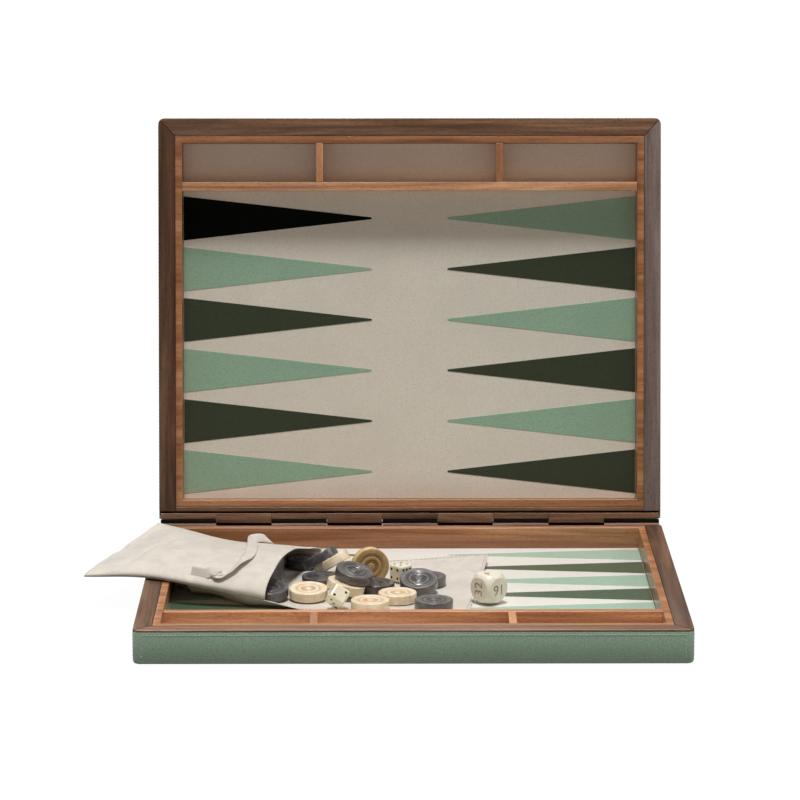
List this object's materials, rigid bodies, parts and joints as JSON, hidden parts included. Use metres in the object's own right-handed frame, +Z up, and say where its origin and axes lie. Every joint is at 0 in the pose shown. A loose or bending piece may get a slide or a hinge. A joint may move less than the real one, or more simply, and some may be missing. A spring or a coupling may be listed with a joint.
{
  "type": "backgammon set",
  "caption": "Folding backgammon case with leather-covered walnut trays, comb-hinged lid, suede pouch, checkers, dice and a doubling cube.",
  "frame": {"origin": "middle of the lower tray's underside, halfway across its width and 202 mm behind its front face", "axes": "+Z up, -Y towards the player's side (the front), +X to the right seen from the front"},
  "size_m": [0.558, 0.5034, 0.4282],
  "materials": {
    "walnut": "satin oiled dark walnut, straight grain",
    "liner_wood": "satin reddish brown hardwood, fine ribbon grain",
    "board_wood": "plain plywood",
    "case_leather": "pebbled sage green leather, pale stitching",
    "field_leather": "grained cream leather with inlaid light and dark green points",
    "suede": "soft off-white suede",
    "boxwood": "polished pale boxwood with turned rings",
    "ebonised_wood": "polished dark stained wood with turned rings",
    "ivory_resin": "polished ivory-coloured resin",
    "dark_steel": "darkened steel"
  },
  "bodies": {
    "base": {"base_leather_cover": "case_leather", "base_bottom_board": "board_wood", "base_front_rail": "walnut", "base_left_rail": "walnut", "base_right_rail": "walnut", "base_rear_strip": "walnut", "base_liner_frame": "liner_wood", "base_playing_field": "field_leather", "base_long_rail": "liner_wood", "base_left_divider": "liner_wood", "base_right_divider": "liner_wood", "base_hinge_strip": "walnut", "hinge_pin": "dark_steel", "pouch": "suede", "pouch_tie_strap": "suede", "light_checker_1": "boxwood", "light_checker_3": "boxwood", "light_checker_4": "boxwood", "light_checker_5": "boxwood", "light_checker_6": "boxwood", "light_checker_7": "boxwood", "light_checker_8": "boxwood", "light_checker_9": "boxwood", "light_checker_10": "boxwood", "light_checker_11": "boxwood", "light_checker_12": "boxwood", "light_checker_13": "boxwood", "light_checker_14": "boxwood", "light_checker_15": "boxwood", "dark_checker_2": "ebonised_wood", "dark_checker_3": "ebonised_wood", "dark_checker_4": "ebonised_wood", "dark_checker_5": "ebonised_wood", "dark_checker_6": "ebonised_wood", "dark_checker_7": "ebonised_wood", "dark_checker_8": "ebonised_wood", "dark_checker_9": "ebonised_wood", "dark_checker_10": "ebonised_wood", "dark_checker_11": "ebonised_wood", "dark_checker_12": "ebonised_wood", "dark_checker_13": "ebonised_wood", "dark_checker_14": "ebonised_wood", "dark_checker_15": "ebonised_wood", "die_1": "ivory_resin", "die_2": "ivory_resin"},
    "lid": {"lid_leather_cover": "case_leather", "lid_bottom_board": "board_wood", "lid_front_rail": "walnut", "lid_left_rail": "walnut", "lid_right_rail": "walnut", "lid_rear_strip": "walnut", "lid_liner_frame": "liner_wood", "lid_playing_field": "field_leather", "lid_long_rail": "liner_wood", "lid_left_divider": "liner_wood", "lid_right_divider": "liner_wood", "lid_hinge_strip": "walnut"},
    "loose_light_checker": {"light_checker_2": "boxwood"},
    "loose_dark_checker": {"dark_checker_1": "ebonised_wood"},
    "loose_doubling_cube": {"doubling_cube": "ivory_resin"}
  },
  "joints": [
    {"name": "lid_hinge", "type": "hinge", "parent": "base", "child": "lid", "pos_m": [0, 0.2005, 0.032], "axis": [1, 0, 0], "range_deg": [-80, 100], "deforming": ["pouch", "pouch_tie_strap"]},
    {"name": "doubling_cube_slide", "type": "slide", "parent": "base", "child": "loose_doubling_cube", "axis": [1, 0, 0], "range_m": [0, 0.1]},
    {"name": "dark_checker_slide", "type": "slide", "parent": "base", "child": "loose_dark_checker", "axis": [0.8, -0.6, 0], "range_m": [0, 0.07]},
    {"name": "light_checker_slide", "type": "slide", "parent": "base", "child": "loose_light_checker", "axis": [0, -1, 0], "range_m": [0, 0.03]}
  ]
}
